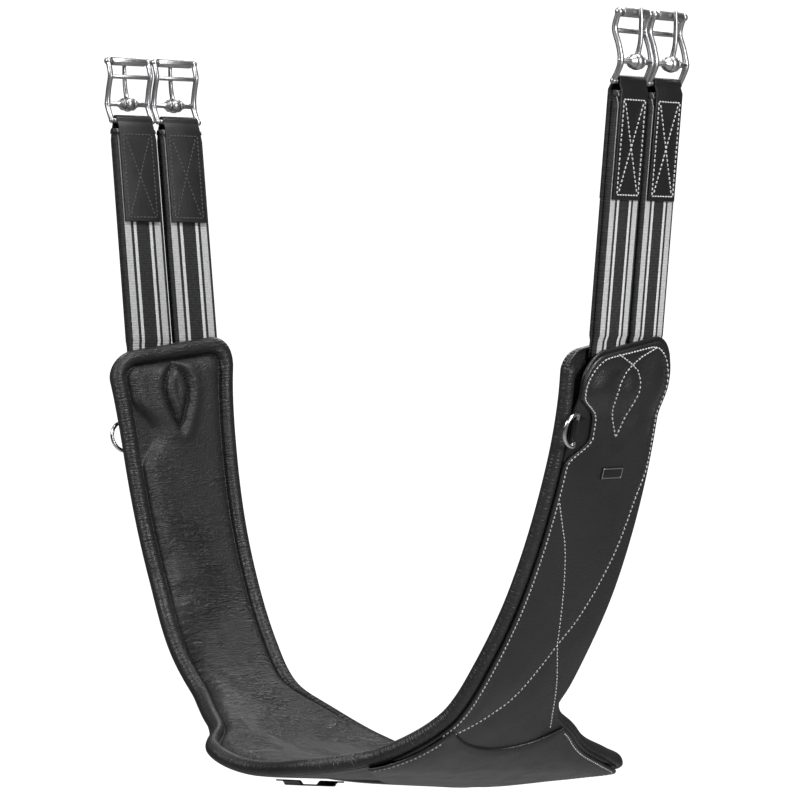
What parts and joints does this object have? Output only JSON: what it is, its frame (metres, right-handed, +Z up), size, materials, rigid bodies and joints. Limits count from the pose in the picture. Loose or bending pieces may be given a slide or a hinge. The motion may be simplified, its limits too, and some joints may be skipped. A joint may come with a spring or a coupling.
{
  "type": "saddle girth",
  "caption": "Padded leather belly strap for a saddle, with elastic ends, roller buckles, and a rear flare on each side of the belly.",
  "frame": {"origin": "middle of the roller on the left arm's front buckle", "axes": "+X from the left arm of the U to the right one, +Y from the front edge to the rear edge, +Z up"},
  "size_m": [0.618, 0.2808, 0.581],
  "materials": {
    "lining_leather": "soft, slightly shiny",
    "skin_leather": "satin",
    "strap_leather": "satin",
    "padding": "foam",
    "webbing": "woven",
    "striped_elastic": "woven, striped lengthwise",
    "buckle_steel": "polished"
  },
  "bodies": {
    "girth_body": {"lining_left": "lining_leather", "lining_belly": "lining_leather", "lining_right": "lining_leather", "foam_padding": "padding", "webbing_core": "webbing", "outer_skin": "skin_leather", "overlay_left": "skin_leather", "overlay_right": "skin_leather", "belly_panel_left": "skin_leather", "belly_panel_right": "skin_leather", "belly_keeper": "strap_leather", "label_plate": "strap_leather", "d_ring_tab_left": "strap_leather", "d_ring_tab_right": "strap_leather", "elastic_left_front": "striped_elastic", "elastic_left_rear": "striped_elastic", "elastic_right_front": "striped_elastic", "elastic_right_rear": "striped_elastic"},
    "strap_end_left_front": {"chape_left_front": "strap_leather"},
    "buckle_left_front": {"buckle_frame_left_front": "buckle_steel"},
    "tongue_left_front": {"tongue_left_front": "buckle_steel"},
    "roller_left_front": {"roller_left_front": "buckle_steel"},
    "strap_end_left_rear": {"chape_left_rear": "strap_leather"},
    "buckle_left_rear": {"buckle_frame_left_rear": "buckle_steel"},
    "tongue_left_rear": {"tongue_left_rear": "buckle_steel"},
    "roller_left_rear": {"roller_left_rear": "buckle_steel"},
    "strap_end_right_front": {"chape_right_front": "strap_leather"},
    "buckle_right_front": {"buckle_frame_right_front": "buckle_steel"},
    "tongue_right_front": {"tongue_right_front": "buckle_steel"},
    "roller_right_front": {"roller_right_front": "buckle_steel"},
    "strap_end_right_rear": {"chape_right_rear": "strap_leather"},
    "buckle_right_rear": {"buckle_frame_right_rear": "buckle_steel"},
    "tongue_right_rear": {"tongue_right_rear": "buckle_steel"},
    "roller_right_rear": {"roller_right_rear": "buckle_steel"},
    "d_ring_left": {"d_ring_left": "buckle_steel"},
    "d_ring_right": {"d_ring_right": "buckle_steel"}
  },
  "joints": [
    {"name": "elastic_stretch_left_front", "type": "slide", "parent": "girth_body", "child": "strap_end_left_front", "axis": [-0.1357, 0, 0.9907], "range_m": [0, 0.03], "stiffness_N_per_m": 400, "deforming": ["elastic_left_front"]},
    {"name": "buckle_hinge_left_front", "type": "hinge", "parent": "strap_end_left_front", "child": "buckle_left_front", "pos_m": [0.0066, 0, -0.04815], "axis": [-0.1001, -0.9949, -0.0137], "range_deg": [-75, 75]},
    {"name": "tongue_hinge_left_front", "type": "hinge", "parent": "buckle_left_front", "child": "tongue_left_front", "pos_m": [-0.0003, 0.00051, -0.03446], "axis": [-0.1001, -0.9949, -0.0137], "range_deg": [0, 95]},
    {"name": "roller_spin_left_front", "type": "hinge", "parent": "buckle_left_front", "child": "roller_left_front", "pos_m": [0, 0, 0], "axis": [-0.1001, -0.9949, -0.0137], "continuous": true},
    {"name": "elastic_stretch_left_rear", "type": "slide", "parent": "girth_body", "child": "strap_end_left_rear", "axis": [-0.1357, 0, 0.9907], "range_m": [0, 0.03], "stiffness_N_per_m": 400, "deforming": ["elastic_left_rear"]},
    {"name": "buckle_hinge_left_rear", "type": "hinge", "parent": "strap_end_left_rear", "child": "buckle_left_rear", "pos_m": [0.01094, 0.04318, -0.04756], "axis": [-0.1001, -0.9949, -0.0137], "range_deg": [-75, 75]},
    {"name": "tongue_hinge_left_rear", "type": "hinge", "parent": "buckle_left_rear", "child": "tongue_left_rear", "pos_m": [0.00405, 0.04368, -0.03386], "axis": [-0.1001, -0.9949, -0.0137], "range_deg": [0, 95]},
    {"name": "roller_spin_left_rear", "type": "hinge", "parent": "buckle_left_rear", "child": "roller_left_rear", "pos_m": [0.00435, 0.04318, 0.0006], "axis": [-0.1001, -0.9949, -0.0137], "continuous": true},
    {"name": "elastic_stretch_right_front", "type": "slide", "parent": "girth_body", "child": "strap_end_right_front", "axis": [0.1063, 0, 0.9943], "range_m": [0, 0.03], "stiffness_N_per_m": 400, "deforming": ["elastic_right_front"]},
    {"name": "buckle_hinge_right_front", "type": "hinge", "parent": "strap_end_right_front", "child": "buckle_right_front", "pos_m": [0.59785, 0.00092, -0.04846], "axis": [-0.2157, 0.9762, 0.0231], "range_deg": [-75, 75]},
    {"name": "tongue_hinge_right_front", "type": "hinge", "parent": "buckle_right_front", "child": "tongue_right_front", "pos_m": [0.60424, 0.002, -0.03456], "axis": [-0.2157, 0.9762, 0.0231], "range_deg": [0, 95]},
    {"name": "roller_spin_right_front", "type": "hinge", "parent": "buckle_right_front", "child": "roller_right_front", "pos_m": [0.60301, 0.00092, -0.00013], "axis": [-0.2157, 0.9762, 0.0231], "continuous": true},
    {"name": "elastic_stretch_right_rear", "type": "slide", "parent": "girth_body", "child": "strap_end_right_rear", "axis": [0.1063, 0, 0.9943], "range_m": [0, 0.03], "stiffness_N_per_m": 400, "deforming": ["elastic_right_rear"]},
    {"name": "buckle_hinge_right_rear", "type": "hinge", "parent": "strap_end_right_rear", "child": "buckle_right_rear", "pos_m": [0.58848, 0.04328, -0.04746], "axis": [-0.2157, 0.9762, 0.0231], "range_deg": [-75, 75]},
    {"name": "tongue_hinge_right_rear", "type": "hinge", "parent": "buckle_right_rear", "child": "tongue_right_rear", "pos_m": [0.59488, 0.04437, -0.03356], "axis": [-0.2157, 0.9762, 0.0231], "range_deg": [0, 95]},
    {"name": "roller_spin_right_rear", "type": "hinge", "parent": "buckle_right_rear", "child": "roller_right_rear", "pos_m": [0.59365, 0.04328, 0.00087], "axis": [-0.2157, 0.9762, 0.0231], "continuous": true},
    {"name": "d_ring_hinge_left", "type": "hinge", "parent": "girth_body", "child": "d_ring_left", "pos_m": [0.03591, -0.02617, -0.30342], "axis": [0.1861, 0, -0.9825], "range_deg": [-10, 150]},
    {"name": "d_ring_hinge_right", "type": "hinge", "parent": "girth_body", "child": "d_ring_right", "pos_m": [0.57443, -0.02626, -0.29557], "axis": [0.2383, 0, 0.9712], "range_deg": [-10, 150]}
  ]
}
